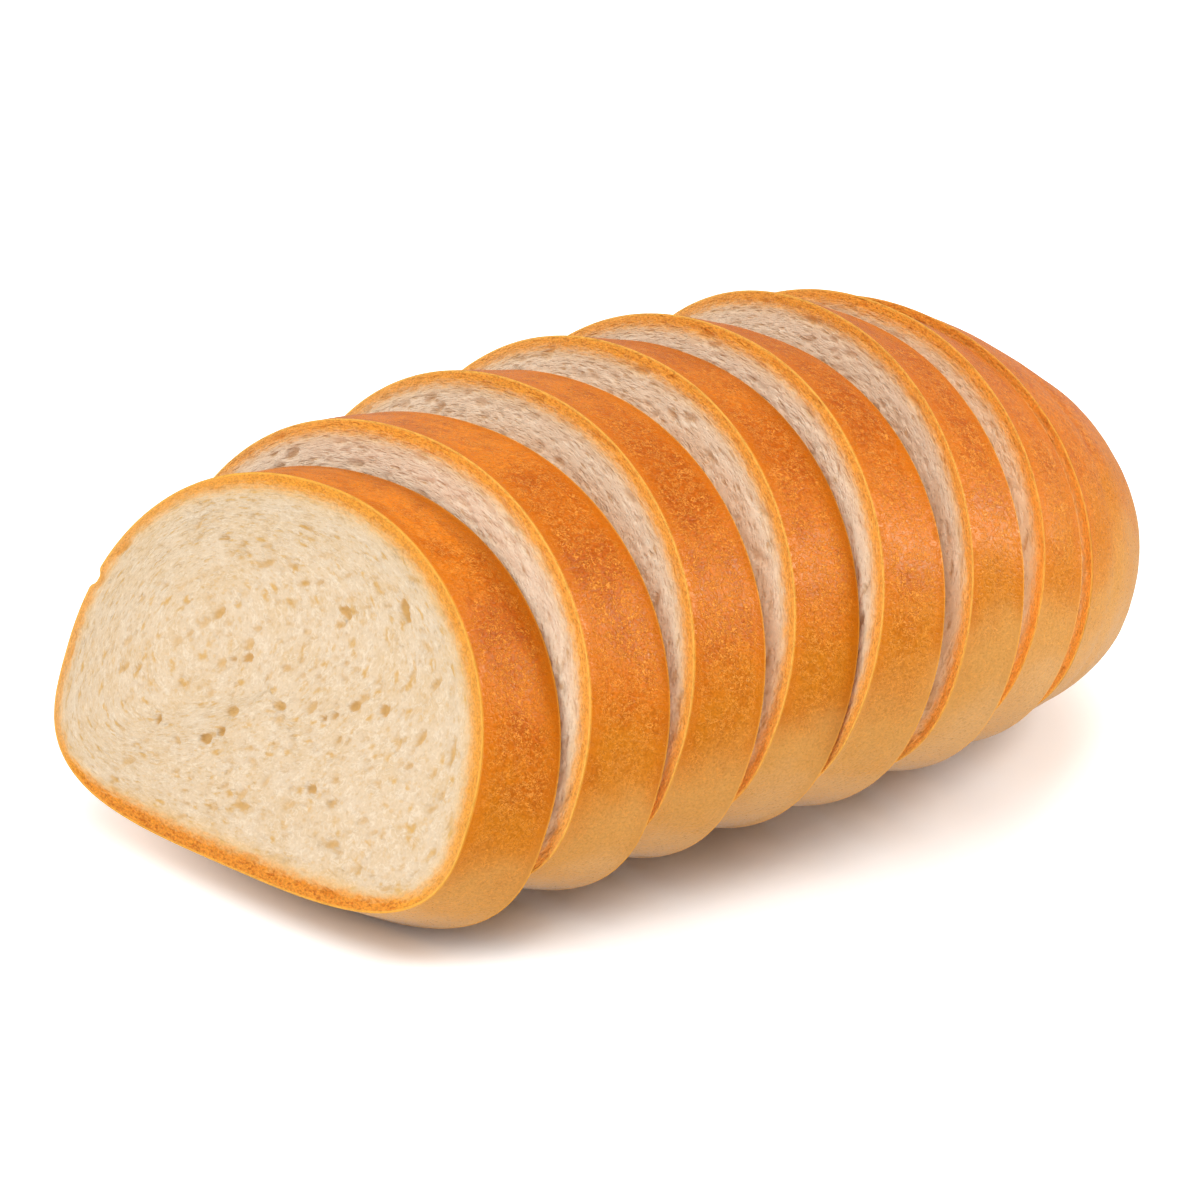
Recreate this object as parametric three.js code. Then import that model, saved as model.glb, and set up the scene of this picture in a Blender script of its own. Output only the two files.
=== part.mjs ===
// Sliced oval white loaf: seven slices and the heel that they lean back on.
//
// Frame: millimetres, +Z up, the loaf lies along +Y with the first cut face towards -Y and the rounded heel
// towards +Y. The origin is the bottom centre of the whole object's box, on the surface that it stands on.
//
// One baked body gives every piece its shape. It is measured along its own axis by the station s, which is 0 at
// the first cut. Each slice is the stretch of that body between two cuts, and the heel is the rest of it. Every
// piece is then leaned back, turned a little, set down on its lowest crust and pushed up to its neighbour.

import * as THREE from "three";
import { mergeVertices } from "three/addons/utils/BufferGeometryUtils.js";

// ---- The baked loaf ----
const LOAF_WIDTH = 118; // side to side at its widest station
const LOAF_HEIGHT = 74.3; // base to crown at its highest station
const WIDEST_STATION = 72.3; // how far the widest station lies behind the first cut
const HIGHEST_STATION = 56.3; // how far the highest station lies behind the first cut
const NEAR_LENGTH = 105.2; // widest station to the near tip, which has been cut away
const FAR_LENGTH = 49.3; // widest station to the tip of the heel
const SHOULDER_HEIGHT = 29.9; // height at which each section is widest, and of both tips

// ---- How the loaf narrows towards its tips: reach is how long it stays full, round is how blunt it ends ----
const SIDE_TAPER = { near: { reach: 2, round: 2.47 }, far: { reach: 1.72, round: 1.96 } };
const CROWN_TAPER = { near: { reach: 1.64, round: 5.6 }, far: { reach: 1.27, round: 2.8 } };
const BASE_TAPER = { near: { reach: 1.35, round: 3 }, far: { reach: 1.35, round: 3 } };

// ---- How square each quarter of a section is: 2 is an ellipse, more is squarer ----
const CROWN_SQUARENESS_RIGHT = 2;
const CROWN_SQUARENESS_LEFT = 2.2;
const BASE_SQUARENESS = { widest: 2.25, nearTip: 3.8 };

// ---- How far a section leans towards +X for each millimetre above the shoulder ----
const CROWN_LEAN = { widest: 0.187, nearTip: 0.009 };

// ---- The slices, from the first cut face to the heel ----
// thickness of the slice, lean back from upright, turn about the vertical, shift towards +X,
// and the least gap to the piece behind it
const SLICES = [
  { thickness: 12.4, lean: 21.7, turn: 11.5, shift: 2.1, gap: 0.4 },
  { thickness: 13.4, lean: 17, turn: 8.2, shift: 0.4, gap: 1.4 },
  { thickness: 12.4, lean: 17.5, turn: 2.3, shift: -1.8, gap: 2.4 },
  { thickness: 11.7, lean: 18.6, turn: -0.7, shift: -1.8, gap: 0.4 },
  { thickness: 11.9, lean: 19.3, turn: -2.4, shift: 0.7, gap: 3.2 },
  { thickness: 10, lean: 14.8, turn: -7, shift: 1.5, gap: 0.7 },
  { thickness: 9.4, lean: 17.2, turn: -5.3, shift: 0.1, gap: 0.4 },
];
const HEEL = { lean: 12.4, turn: -3.3, shift: -2.3 };
const CONTACT_PRESS = 0.6; // how much the heel's crust flattens under its own weight

// ---- How finely the surface is divided ----
const SECTION_POINTS = 88; // points round a section
const SLICE_STATIONS = 3; // sections in a slice, both cuts included
const HEEL_STATIONS = 14; // sections in the heel, before its tip

// ---- Finishes ----
const CRUST_COLOUR = 0xd98a35;
const CRUST_ROUGHNESS = 0.6;

const { cos, sin, abs, sign, max, min, PI } = Math;
const { lerp, degToRad: radians } = THREE.MathUtils;

// Share of the full size that is left at a station, for a body that is full at the given station.
function taper({ near, far }, full, station) {
  const nearTip = WIDEST_STATION - NEAR_LENGTH;
  const farTip = WIDEST_STATION + FAR_LENGTH;
  const [{ reach, round }, tip] = station < full ? [near, nearTip] : [far, farTip];
  return (1 - ((station - full) / (tip - full)) ** reach) ** (1 / round);
}

// One section of the baked body: points anticlockwise from the +X side, in the plane of the cut.
function sectionAt(station) {
  const halfWidth = (LOAF_WIDTH / 2) * taper(SIDE_TAPER, WIDEST_STATION, station);
  const above = (LOAF_HEIGHT - SHOULDER_HEIGHT) * taper(CROWN_TAPER, HIGHEST_STATION, station);
  const below = SHOULDER_HEIGHT * taper(BASE_TAPER, WIDEST_STATION, station);
  const towardsNearTip = max(0, WIDEST_STATION - station) / NEAR_LENGTH;
  const base = lerp(BASE_SQUARENESS.widest, BASE_SQUARENESS.nearTip, towardsNearTip);
  const lean = lerp(CROWN_LEAN.widest, CROWN_LEAN.nearTip, towardsNearTip);

  return Array.from({ length: SECTION_POINTS }, (_, i) => {
    const angle = (2 * PI * i) / SECTION_POINTS;
    const [c, s] = [cos(angle), sin(angle)];
    const crown = c >= 0 ? CROWN_SQUARENESS_RIGHT : CROWN_SQUARENESS_LEFT;
    const squareness = s >= 0 ? crown : base;
    const rise = (s >= 0 ? above : below) * sign(s) * abs(s) ** (2 / squareness);
    const side = halfWidth * sign(c) * abs(c) ** (2 / squareness);
    return new THREE.Vector2(side + lean * rise, SHOULDER_HEIGHT + rise);
  });
}

// A closed body through the sections at the given stations, with its first section's plane at y = 0.
// A tip closes it to a point; without one, its last section is a flat cut as its first is.
function loft(stations, tipStation = null) {
  const sections = stations.map(sectionAt);
  const positions = [];
  const middles = [];
  sections.forEach((section, k) => {
    const y = stations[k] - stations[0];
    section.forEach((p) => positions.push(p.x, y, p.y));
  });
  const rings = sections.length;
  const ring = (k, i) => k * SECTION_POINTS + (i % SECTION_POINTS);
  const addMiddle = (x, y, z) => {
    positions.push(x, y, z);
    middles.push(positions.length / 3 - 1);
  };
  addMiddle(0, 0, SHOULDER_HEIGHT);
  addMiddle(0, (tipStation ?? stations[rings - 1]) - stations[0], SHOULDER_HEIGHT);

  const faces = [];
  for (let i = 0; i < SECTION_POINTS; i++) {
    faces.push(middles[0], ring(0, i), ring(0, i + 1));
    faces.push(middles[1], ring(rings - 1, i + 1), ring(rings - 1, i));
    for (let k = 0; k < rings - 1; k++) {
      faces.push(ring(k, i), ring(k + 1, i), ring(k + 1, i + 1));
      faces.push(ring(k, i), ring(k + 1, i + 1), ring(k, i + 1));
    }
  }
  const geometry = new THREE.BufferGeometry();
  geometry.setAttribute("position", new THREE.Float32BufferAttribute(positions, 3));
  geometry.setIndex(faces);
  return mergeVertices(geometry);
}

// Evenly spaced stations from one cut to the next.
function sliceStations(from, to) {
  return Array.from({ length: SLICE_STATIONS }, (_, k) => lerp(from, to, k / (SLICE_STATIONS - 1)));
}

// Stations from the heel's cut towards its tip, closer together as the crust curves in.
function heelStations(from, tip) {
  return Array.from({ length: HEEL_STATIONS }, (_, k) => {
    const angle = (PI / 2) * (k / HEEL_STATIONS);
    return from + (tip - from) * sin(angle);
  });
}

// A named mesh of one piece, leaned back and turned, with its lowest crust on the surface z = 0.
function place(name, geometry, { lean, turn, shift }) {
  const material = new THREE.MeshStandardMaterial({ color: CRUST_COLOUR, roughness: CRUST_ROUGHNESS, metalness: 0 });
  const mesh = new THREE.Mesh(geometry, material);
  mesh.name = name;
  mesh.rotation.set(-radians(lean), 0, radians(turn), "ZXY");
  mesh.position.set(shift, 0, 0);
  mesh.updateMatrixWorld(true);
  mesh.position.z = -lowest(mesh);
  mesh.updateMatrixWorld(true);
  return mesh;
}

function worldPoints(mesh) {
  const local = mesh.geometry.getAttribute("position");
  return Array.from({ length: local.count }, (_, i) =>
    new THREE.Vector3().fromBufferAttribute(local, i).applyMatrix4(mesh.matrixWorld),
  );
}

function lowest(mesh) {
  return min(...worldPoints(mesh).map((p) => p.z));
}

// Sinks a piece by a depth and lifts what went below the surface back up to it, as a flat patch.
function pressFlat(mesh, depth) {
  mesh.position.z -= depth;
  mesh.updateMatrixWorld(true);
  const local = mesh.geometry.getAttribute("position");
  const toLocal = mesh.matrixWorld.clone().invert();
  worldPoints(mesh).forEach((p, i) => {
    if (p.z >= 0) return;
    p.setZ(0).applyMatrix4(toLocal);
    local.setXYZ(i, p.x, p.y, p.z);
  });
}

// Slides a piece along Y until its nearest point is the given gap in front of the cut face of the piece behind.
function pushUpTo(mesh, behind, gap) {
  const cutNormal = new THREE.Vector3(0, 1, 0).transformDirection(behind.matrixWorld);
  const onCut = new THREE.Vector3(0, 0, SHOULDER_HEIGHT).applyMatrix4(behind.matrixWorld);
  const reach = max(...worldPoints(mesh).map((p) => p.sub(onCut).dot(cutNormal)));
  mesh.position.y -= (reach + gap) / cutNormal.y;
  mesh.updateMatrixWorld(true);
}

function buildLoaf() {
  const loaf = new THREE.Group();
  const cuts = [0];
  SLICES.forEach(({ thickness }) => cuts.push(cuts.at(-1) + thickness));
  const tip = WIDEST_STATION + FAR_LENGTH;

  const heel = place("heel", loft(heelStations(cuts.at(-1), tip), tip), HEEL);
  pressFlat(heel, CONTACT_PRESS);
  loaf.add(heel);

  let behind = heel;
  for (let i = SLICES.length - 1; i >= 0; i--) {
    const slice = place(`slice_${i + 1}`, loft(sliceStations(cuts[i], cuts[i + 1])), SLICES[i]);
    pushUpTo(slice, behind, SLICES[i].gap);
    loaf.add(slice);
    behind = slice;
  }
  return loaf;
}

const loaf = buildLoaf();
const box = new THREE.Box3().setFromObject(loaf, true);
const middle = box.getCenter(new THREE.Vector3());
loaf.position.set(-middle.x, -middle.y, -box.min.z);

const object = new THREE.Group();
object.add(loaf);

export default object;
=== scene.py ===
"""Looks of a sliced oval white loaf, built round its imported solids.

Each of the seven slices and the heel is rebuilt as one fine closed mesh that follows its solid: torn crumb
with open bubbles on the cut faces, a baked rind round them, and a wrinkled crust. Lengths are in millimetres
unless a name says otherwise. The meshes are written in metres, in the frame of the solids.
"""

import itertools
import logging
import math
from collections.abc import Iterable
from dataclasses import dataclass, field
from enum import Enum

import bpy
import numpy as np
from mathutils import Matrix, Vector
from mathutils.bvhtree import BVHTree
from mathutils.kdtree import KDTree


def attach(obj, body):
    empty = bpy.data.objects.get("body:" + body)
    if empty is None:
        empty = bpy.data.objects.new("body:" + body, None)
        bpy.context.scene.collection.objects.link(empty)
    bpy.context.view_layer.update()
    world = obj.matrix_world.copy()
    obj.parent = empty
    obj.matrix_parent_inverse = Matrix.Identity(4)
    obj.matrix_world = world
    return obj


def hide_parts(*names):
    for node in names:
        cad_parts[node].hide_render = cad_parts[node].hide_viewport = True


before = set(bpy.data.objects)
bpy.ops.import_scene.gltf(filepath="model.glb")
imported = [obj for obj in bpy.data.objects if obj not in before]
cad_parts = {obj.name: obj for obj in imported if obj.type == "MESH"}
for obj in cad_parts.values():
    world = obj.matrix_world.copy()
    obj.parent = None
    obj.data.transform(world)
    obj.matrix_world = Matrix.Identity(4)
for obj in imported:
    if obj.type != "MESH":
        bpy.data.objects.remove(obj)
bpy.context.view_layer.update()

log = logging.getLogger("loaf")

MM = 0.001  # metres in a millimetre
SLICES = 7
SAME_WAY = 0.02  # how far apart the normals of one flat face may be
MIDDLE_TONE = 0.5  # what the mottle's patches lie round

Colour = tuple[float, float, float, float]


def smooth_step(value: np.ndarray, low: float, high: float) -> np.ndarray:
    """Eases from 0 to 1.

    Args:
        value: What is eased.
        low: Where it is still 0.
        high: Where it has become 1.

    Returns:
        The eased share, of the value's shape.
    """
    share = np.clip((value - low) / (high - low), 0.0, 1.0)
    return share * share * (3.0 - 2.0 * share)


def paint(red: int, green: int, blue: int) -> Colour:
    """Turns a colour as seen on a screen, 0 to 255 each, into the linear colour of a shader.

    Args:
        red: Share of red.
        green: Share of green.
        blue: Share of blue.

    Returns:
        The linear colour with full alpha.
    """
    toe, slope, offset, power = 0.04045, 12.92, 0.055, 2.4
    linear = []
    for channel in (red, green, blue):
        seen = channel / 255
        linear.append(seen / slope if seen <= toe else ((seen + offset) / (1 + offset)) ** power)
    return (*linear, 1.0)


class SmoothNoise:
    """Seeded gradient noise in three dimensions, about -1 to 1."""

    TABLE = 256
    FULL = 1.6  # brings the sum of the corners up to about -1 to 1
    LAYER_SHIFT = 31.7  # keeps the layers from lining up

    def __init__(self, seed: int) -> None:
        """Draws the gradients and their order from the seed."""
        draw = np.random.default_rng(seed)
        directions = draw.normal(size=(self.TABLE, 3))
        self.gradients = directions / np.linalg.norm(directions, axis=1, keepdims=True)
        self.order = draw.permutation(self.TABLE)

    def at(self, points: np.ndarray, lump: float) -> np.ndarray:
        """Samples the noise.

        Args:
            points: Places, with their coordinates on the last axis.
            lump: Size of one lump, in the units of the points.

        Returns:
            One value for each place.
        """
        scaled = points / lump
        cell = np.floor(scaled).astype(int)
        inside = scaled - cell
        ease = inside**3 * (inside * (inside * 6 - 15) + 10)  # starts and ends level
        total = np.zeros(points.shape[:-1])
        wrap = self.TABLE - 1
        for corner in itertools.product((0, 1), repeat=3):
            index = np.zeros(points.shape[:-1], int)
            weight = np.ones(points.shape[:-1])
            for axis, step in enumerate(corner):
                index = self.order[(index + cell[..., axis] + step) & wrap]
                weight = weight * (ease[..., axis] if step else 1 - ease[..., axis])
            total += weight * ((inside - np.array(corner)) * self.gradients[index]).sum(-1)
        return total * self.FULL

    def layered(self, points: np.ndarray, lump: float, layers: int) -> np.ndarray:
        """Adds up layers of noise, each with half the lump and half the height of the one before.

        Args:
            points: Places, with their coordinates on the last axis.
            lump: Size of a lump in the first layer.
            layers: How many layers there are.

        Returns:
            One value for each place.
        """
        total = np.zeros(points.shape[:-1])
        for layer in range(layers):
            shifted = points + layer * self.LAYER_SHIFT
            total += self.at(shifted, lump / 2**layer) / 2**layer
        return total


@dataclass(frozen=True)
class Solid:
    """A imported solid, read as a body with a flat cut at its near end.

    Its own coordinates start at the middle of the cut: across and rise lie in its plane, and along goes
    square to it into the bread.
    """

    name: str
    origin: Vector
    across: Vector
    rise: Vector
    along: Vector
    depth: float
    tree: BVHTree

    @classmethod
    def read(cls, name: str) -> "Solid":
        """Reads a solid of the frame.

        Args:
            name: Its node.

        Returns:
            The solid with its axes and its depth.
        """
        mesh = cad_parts[name].data
        corners = [v.co.copy() for v in mesh.vertices]
        faces = [tuple(p.vertices) for p in mesh.polygons]
        flats: dict[tuple[float, ...], float] = {}
        for face in mesh.polygons:
            key = tuple(round(n, 2) for n in face.normal)
            flats[key] = flats.get(key, 0.0) + face.area
        facing = max((key for key in flats if key[1] < 0), key=flats.get)
        cut = [p for p in mesh.polygons if (p.normal - Vector(facing)).length < SAME_WAY]
        area = sum(p.area for p in cut)
        along = -sum((p.normal * p.area for p in cut), Vector()).normalized()
        origin = sum((p.center * p.area for p in cut), Vector()) / area
        across = along.cross(Vector((0, 0, 1))).normalized()
        depth = max((c - origin).dot(along) for c in corners) / MM
        tree = BVHTree.FromPolygons(corners, faces)
        return cls(name, origin, across, across.cross(along), along, depth, tree)

    def reach(self, angles: np.ndarray, station: float, tilt: float = 0.0) -> np.ndarray:
        """Measures from the middle line to the crust.

        Args:
            angles: Directions in the plane of the cut, from across towards rise.
            station: How far along the middle line the measuring starts.
            tilt: How far each direction is turned from the plane of the cut towards along.

        Returns:
            The distance in each direction.
        """
        start = self.origin + self.along * (station * MM)
        found = []
        for angle in angles:
            flat = self.across * math.cos(angle) + self.rise * math.sin(angle)
            direction = flat * math.cos(tilt) + self.along * math.sin(tilt)
            hit = self.tree.ray_cast(start, direction)
            found.append(hit[3] / MM)
        return np.array(found)

    def world(self, local: np.ndarray) -> np.ndarray:
        """Turns places in the solid's own coordinates into places in the frame, in metres."""
        axes = np.array([self.across, self.rise, self.along])
        return np.array(self.origin) + local @ axes * MM


def soften_round(radii: np.ndarray, waves: float) -> np.ndarray:
    """Smooths what is measured round a section, so that the solid's facets don't show.

    Args:
        radii: Distances, evenly spaced round the last axis.
        waves: How many waves round the section still come through.

    Returns:
        The smoothed distances.
    """
    spectrum = np.fft.rfft(radii, axis=-1)
    keep = np.exp(-((np.arange(spectrum.shape[-1]) / waves) ** 2))
    return np.fft.irfft(spectrum * keep, radii.shape[-1], axis=-1)


class Zone(Enum):
    """The part of a piece's surface that a ring of points lies on."""

    NEAR_CUT = 0
    CRUST = 1
    FAR_CUT = 2


@dataclass
class Surface:
    """Rings of points from the middle of the near cut round to the far middle.

    Every array but zones has one row for each ring.
    """

    local: np.ndarray
    zones: list[Zone]
    rim: np.ndarray  # distance from the crust, on a cut
    edge: np.ndarray  # distance from the nearest cut, on the crust

    def on(self, *zones: Zone) -> np.ndarray:
        """Returns which rings lie on the given zones."""
        return np.array([zone in zones for zone in self.zones])


@dataclass(frozen=True)
class Bubbles:
    """The larger open bubbles on a cut face."""

    spacing: float = 1.9  # one bubble for each square of this side
    smallest: float = 0.28
    usual: float = 0.42
    largest: float = 1.0
    deepest: float = 0.85
    stretch: float = 2.1
    lean_degrees: float = 36.0  # direction of the bubbles in the middle of a face
    flow_reach: float = 14.0  # how far in from the crust the bubbles still follow it
    layer_pitch: float = 1.5  # how many layers of crumb a millimetre crosses at the crust
    middle_pitch: float = 0.8  # and in the middle of a face
    size_spread: float = 0.38
    sinks: tuple[float, float] = (0.45, 1.1)  # least and most, as shares of a bubble's size
    shallowness: float = 0.6  # what every such share is multiplied by
    turn_degrees: float = 14.0
    clear_of_crust: float = 1.2
    slimmer_at_crust: float = 0.35
    middle_stretch: float = 0.5
    ragged: float = 0.22  # how far an outline strays, as a share of its size
    ragged_lump: float = 0.9
    search_reach: float = 1.4  # in half lengths of a bubble
    lip: tuple[float, float] = (-1.0, -0.72)  # from its outline inwards, where it sinks to its depth

    def grain(self, x: np.ndarray, v: np.ndarray, rim: np.ndarray) -> np.ndarray:
        """Gives the crumb its own coordinates, in which its bubbles are round.

        Args:
            x: Place across the cut.
            v: Place up the cut.
            rim: Distance from the crust.

        Returns:
            Three coordinates for each place.
        """
        lean = math.radians(self.lean_degrees)
        inside = 1 - np.exp(-rim / self.flow_reach)
        crosswise = -x * math.sin(lean) + v * math.cos(lean)
        pressed = self.layer_pitch * self.flow_reach * inside + self.middle_pitch * inside**2 * crosswise
        return np.stack([x, v, pressed], axis=-1)


# Middle across and up the first cut, half length, half width, direction in degrees and depth of the bubbles
# that stand out on it.
LARGE_BUBBLES = (
    (-11, -11, 1.5, 1, 10, 1),
    (-8, -9, 1, 0.8, 60, 0.8),
    (-17, -13, 1.2, 0.7, 150, 0.5),
    (-22, -11, 1.2, 0.6, 80, 0.8),
    (-6, 3.5, 1.5, 0.8, 30, 0.8),
    (-9, 2.5, 1, 0.5, 20, 0.5),
    (12, 15.5, 1.6, 1, -30, 0.8),
    (23.5, 19, 2.4, 0.9, -50, 1),
    (18, 2.5, 1.5, 0.9, 40, 0.8),
    (14.5, 0, 1, 0.6, 50, 0.6),
    (12.5, -1, 0.8, 0.5, 40, 0.6),
    (24, 3.5, 1.2, 1, -70, 0.8),
    (13, -12, 1.3, 0.9, 30, 0.8),
    (39, 1, 3, 0.6, 90, 0.6),
    (-6.5, 18.5, 2.6, 0.8, 30, 0.5),
    (2, 17.5, 2, 0.7, 25, 0.4),
    (-17, 6, 2, 0.8, 40, 0.4),
)

# Direction from the middle in degrees, width and depth of the bits that have broken off the first cut's edge.
NICKS = ((171, 2.6, 0.9),)


class CrumbRelief:
    """How far each point of a cut face lies in from the plane of the cut."""

    TEAR_LUMP, TEAR_LAYERS, TEAR_DEPTH = 2.4, 3, 0.07
    DENT_LUMP, DENT_DEPTH = 9.0, 0.15

    def __init__(self, bubbles: Bubbles, seed: int, large: tuple[tuple[float, ...], ...] = ()) -> None:
        """Sets up the relief of one face.

        Args:
            bubbles: Sizes of its bubbles.
            seed: Draws their places.
            large: Chosen bubbles, as in LARGE_BUBBLES.
        """
        self.bubbles = bubbles
        self.noise = SmoothNoise(seed)
        self.draw = np.random.default_rng(seed)
        self.large = large

    def scattered(self, outline: np.ndarray, angles: np.ndarray) -> list[tuple[float, ...]]:
        """Draws the places and sizes of the smaller bubbles.

        Args:
            outline: Distance from the middle to the crust.
            angles: Direction of each of those distances.

        Returns:
            Bubbles as in LARGE_BUBBLES.
        """
        shape = self.bubbles
        widest = float(outline.max())
        count = int((2 * widest / shape.spacing) ** 2)
        places = self.draw.uniform(-widest, widest, (count, 2))
        sizes = shape.usual * np.exp(self.draw.normal(0, shape.size_spread, count))
        sizes = np.clip(sizes, shape.smallest, shape.largest)
        sinks = self.draw.uniform(*shape.sinks, count)
        turns = self.draw.normal(0, shape.turn_degrees, count)
        lean = shape.lean_degrees
        drawn = []
        for (x, v), size, sink, turn in zip(places, sizes, sinks, turns):
            around = math.atan2(v, x) % (2 * math.pi)
            near = int(around / (2 * math.pi) * len(angles)) % len(angles)
            room = outline[near] - math.hypot(x, v)
            if room < shape.clear_of_crust:
                continue
            slope = (outline[(near + 2) % len(angles)] - outline[near - 2]) / (4 * 2 * math.pi / len(angles))
            flow = math.degrees(around + math.pi / 2 - math.atan2(slope, outline[near]))
            follow = math.exp(-room / shape.flow_reach)
            twist = (flow - lean + 90) % 180 - 90
            direction = lean + twist * follow + turn
            long = size * (1 + (shape.stretch - 1) * (shape.middle_stretch + follow))
            wide = size * (1 - shape.slimmer_at_crust * follow)
            drawn.append((x, v, long, wide, direction, size * sink * shape.shallowness))
        return drawn

    def opened(self, plane: np.ndarray, outline: np.ndarray, angles: np.ndarray) -> np.ndarray:
        """Cuts the bubbles open.

        Args:
            plane: Points of the face, across and up, one a row.
            outline: Distance from the middle to the crust.
            angles: Direction of each of those distances.

        Returns:
            Depth at each point.
        """
        shape = self.bubbles
        tree = KDTree(len(plane))
        for index, (x, v) in enumerate(plane):
            tree.insert((x, v, 0), index)
        tree.balance()
        depth = np.zeros(len(plane))
        ragged = self.noise.at(np.column_stack([plane, np.zeros(len(plane))]), shape.ragged_lump)
        for x, v, long, wide, direction, sink in [*self.large, *self.scattered(outline, angles)]:
            found = [index for _, index, _ in tree.find_range((x, v, 0), long * shape.search_reach)]
            if not found:
                continue
            away = plane[found] - (x, v)
            turn = math.radians(direction)
            lengthwise = (away[:, 0] * math.cos(turn) + away[:, 1] * math.sin(turn)) / long
            sideways = (away[:, 1] * math.cos(turn) - away[:, 0] * math.sin(turn)) / wide
            share = np.hypot(lengthwise, sideways) * (1 + shape.ragged * ragged[found])
            hollow = np.sqrt(np.clip(1 - share**2, 0, 1)) * smooth_step(-share, *shape.lip)
            depth[found] = np.maximum(depth[found], sink * hollow)
        return np.minimum(depth, shape.deepest)

    def uneven(self, grain: np.ndarray) -> np.ndarray:
        """Gives the tears and dents of the crumb between its bubbles."""
        torn = self.noise.layered(grain, self.TEAR_LUMP, self.TEAR_LAYERS)
        dented = self.noise.at(grain, self.DENT_LUMP)
        return self.TEAR_DEPTH * np.clip(torn, -1, 1) + self.DENT_DEPTH * dented


@dataclass(frozen=True)
class Sides:
    """A value that differs between the base, the crown and the two sides of a cut face."""

    base: float
    crown: float
    right: float
    left: float
    base_reach: tuple[float, float]  # how far round the base gives way to the rest

    def around(self, x: np.ndarray, v: np.ndarray) -> np.ndarray:
        """Blends the value all round a face.

        Args:
            x: Place across the cut.
            v: Place up the cut.

        Returns:
            The value at each place.
        """
        size = np.hypot(x, v)
        down, up, right, left = (np.clip(way / size, 0, 1) ** 2 for way in (-v, v, x, -x))
        based = smooth_step(down, *self.base_reach)
        return self.base * based + (self.crown * up + self.right * right + self.left * left) * (1 - based)


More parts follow.
